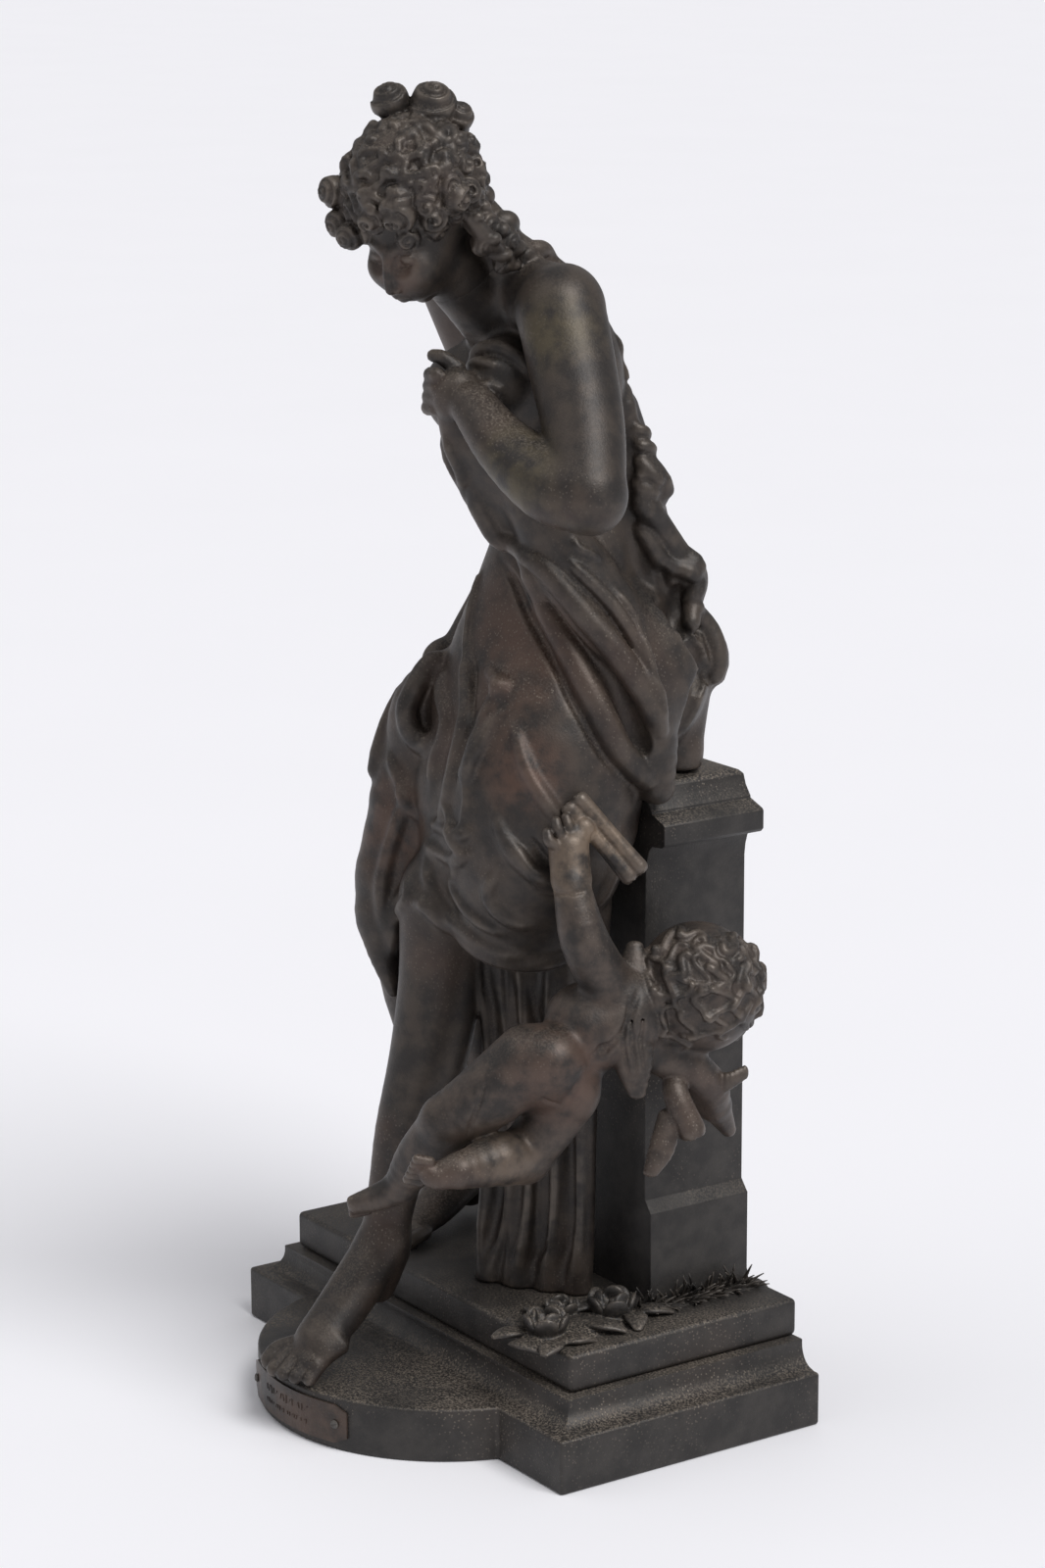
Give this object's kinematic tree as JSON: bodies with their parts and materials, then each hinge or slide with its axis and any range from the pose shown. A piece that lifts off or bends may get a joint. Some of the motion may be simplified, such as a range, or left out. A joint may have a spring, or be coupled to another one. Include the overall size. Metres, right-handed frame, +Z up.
{
  "type": "mantel statue",
  "caption": "Patinated cast-metal statue of a draped woman leaning on a pier with a winged infant, on a moulded plinth with a bowed front.",
  "frame": {"origin": "middle of the plinth's underside, on the surface it stands on", "axes": "+Z up, -Y toward the bowed front with the plate, +X toward the side of the pier and the infant"},
  "size_m": [0.3088, 0.2358, 0.6798],
  "materials": {
    "plinth_patina": "satin dark brown patina with dust in the hollows",
    "pier_patina": "satin grey-brown patina",
    "figure_patina": "satin dark brown patina, rubbed olive on the shoulder and arm",
    "infant_patina": "satin brown patina, worn to tan on the raised hand",
    "plate_metal": "darkened",
    "screw_metal_left": "darkened",
    "screw_metal_right": "darkened"
  },
  "bodies": {
    "root": {"plinth": "plinth_patina", "pier_and_slab": "pier_patina", "psyche": "figure_patina", "cupid": "infant_patina", "nameplate": "plate_metal", "plate_screw_left": "screw_metal_left", "plate_screw_right": "screw_metal_right"}
  },
  "joints": []
}
